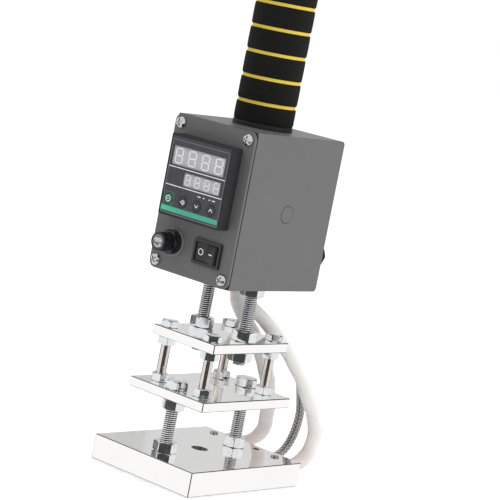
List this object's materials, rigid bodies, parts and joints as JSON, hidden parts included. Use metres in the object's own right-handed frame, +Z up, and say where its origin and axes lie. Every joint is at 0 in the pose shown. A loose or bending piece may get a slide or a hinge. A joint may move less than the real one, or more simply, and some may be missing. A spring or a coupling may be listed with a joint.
{
  "type": "hot foil stamper",
  "caption": "Hand-held hot foil stamper: a heated plate bolted in tiers under a control box with temperature controller, fuse, rocker switch and upright foam grip.",
  "frame": {"origin": "centre of the heating plate's underside, where the die is fixed and the tool stands", "axes": "+Z up along the grip, -Y towards the control panel, +X to the right of someone facing the panel"},
  "size_m": [0.08, 0.1268, 0.3391],
  "materials": {
    "mirror_steel": "mirror-polished stainless, satin sawn edges",
    "heater_steel": "satin stainless sheath",
    "dark_screw": "slotted, slightly heat tinted",
    "zinc_bolt": "bright zinc plate",
    "zinc_nut": "bright zinc plate",
    "stainless_post": "bright stainless",
    "powder_coat": "fine satin powder coat",
    "chrome_screw": "bright plated",
    "black_plastic": "matt moulded",
    "bezel_plastic": "fine matt moulded",
    "printed_overlay": "semi-gloss printed sheet",
    "display_grey": "unlit digits on a grey face",
    "key_green": "soft key with a white symbol",
    "key_grey": "soft key with a white symbol",
    "circuit_board": "solder-masked laminate",
    "gloss_black": "moulded gloss",
    "rocker_plastic": "semi-gloss moulded with printed marks",
    "grey_rubber": "smooth seal",
    "black_rubber": "matt",
    "fuse_glass": "clear tube with nickel ends",
    "brass_tab": "stamped",
    "core_tube": "drawn tube",
    "foam": "closed-cell foam with yellow grooves",
    "white_plastic": "moulded",
    "glass_sleeve": "braided glass-fibre sleeve",
    "steel_braid": "braided stainless wire"
  },
  "bodies": {
    "root": {"heating_plate": "mirror_steel", "heater_left": "heater_steel", "heater_right": "heater_steel", "probe_tip": "heater_steel", "heater_set_screws": "dark_screw", "lower_bolts": "zinc_bolt", "base_lock_nuts": "zinc_nut", "middle_plate_nuts": "zinc_nut", "middle_plate": "mirror_steel", "post_bolts": "stainless_post", "post_lower_nuts": "zinc_nut", "post_upper_nuts": "zinc_nut", "upper_plate": "mirror_steel", "upper_rods": "zinc_bolt", "rod_nuts_below": "zinc_nut", "rod_nuts_above": "zinc_nut", "box_nuts_below": "zinc_nut", "box_nuts_inside": "zinc_nut", "box_shell": "powder_coat", "panel_rivet_nuts": "zinc_nut", "front_panel": "powder_coat", "panel_screws": "chrome_screw", "side_plug": "powder_coat", "controller_case": "black_plastic", "controller_bezel": "bezel_plastic", "controller_overlay": "printed_overlay", "upper_display": "display_grey", "lower_display": "display_grey", "controller_board": "circuit_board", "key_switches": "black_plastic", "controller_terminals": "black_plastic", "controller_clamp": "black_plastic", "fuse_holder": "gloss_black", "fuse_washer": "grey_rubber", "fuse_holder_nut": "gloss_black", "switch_frame": "gloss_black", "switch_terminals": "brass_tab", "grip_collar": "black_plastic", "grip_core": "core_tube", "foam_grip": "foam", "grip_end_cap": "black_plastic", "grip_bolt": "zinc_bolt", "grip_washer": "zinc_bolt", "terminal_strip": "white_plastic", "lead_grommets": "black_rubber", "heater_sleeve_left": "glass_sleeve", "heater_sleeve_right": "glass_sleeve", "probe_lead": "steel_braid", "gland_body": "black_plastic", "gland_seal": "black_rubber", "gland_cap_nut": "black_plastic", "gland_lock_nut": "black_plastic"},
    "rocker": {"rocker": "rocker_plastic"},
    "key_set": {"key_set": "key_green"},
    "key_shift": {"key_shift": "key_grey"},
    "key_down": {"key_down": "key_grey"},
    "key_up": {"key_up": "key_grey"},
    "fuse_link": {"fuse_link": "fuse_glass"},
    "fuse_cap": {"fuse_cap": "gloss_black"}
  },
  "joints": [
    {"name": "rocker_hinge", "type": "hinge", "parent": "root", "child": "rocker", "pos_m": [0.0125, -0.03985, 0.1385], "axis": [0, 0, 1], "range_deg": [0, 16]},
    {"name": "key_set_press", "type": "slide", "parent": "root", "child": "key_set", "axis": [0, 1, 0], "range_m": [0, 0.0005], "stiffness_N_per_m": 800},
    {"name": "key_shift_press", "type": "slide", "parent": "root", "child": "key_shift", "axis": [0, 1, 0], "range_m": [0, 0.0005], "stiffness_N_per_m": 800},
    {"name": "key_down_press", "type": "slide", "parent": "root", "child": "key_down", "axis": [0, 1, 0], "range_m": [0, 0.0005], "stiffness_N_per_m": 800},
    {"name": "key_up_press", "type": "slide", "parent": "root", "child": "key_up", "axis": [0, 1, 0], "range_m": [0, 0.0005], "stiffness_N_per_m": 800},
    {"name": "fuse_draw", "type": "slide", "parent": "root", "child": "fuse_link", "axis": [0, -1, 0], "range_m": [0, 0.032]},
    {"name": "fuse_cap_turn", "type": "hinge", "parent": "fuse_link", "child": "fuse_cap", "pos_m": [-0.0155, -0.04125, 0.139], "axis": [0, -1, 0], "range_deg": [0, 90]}
  ]
}
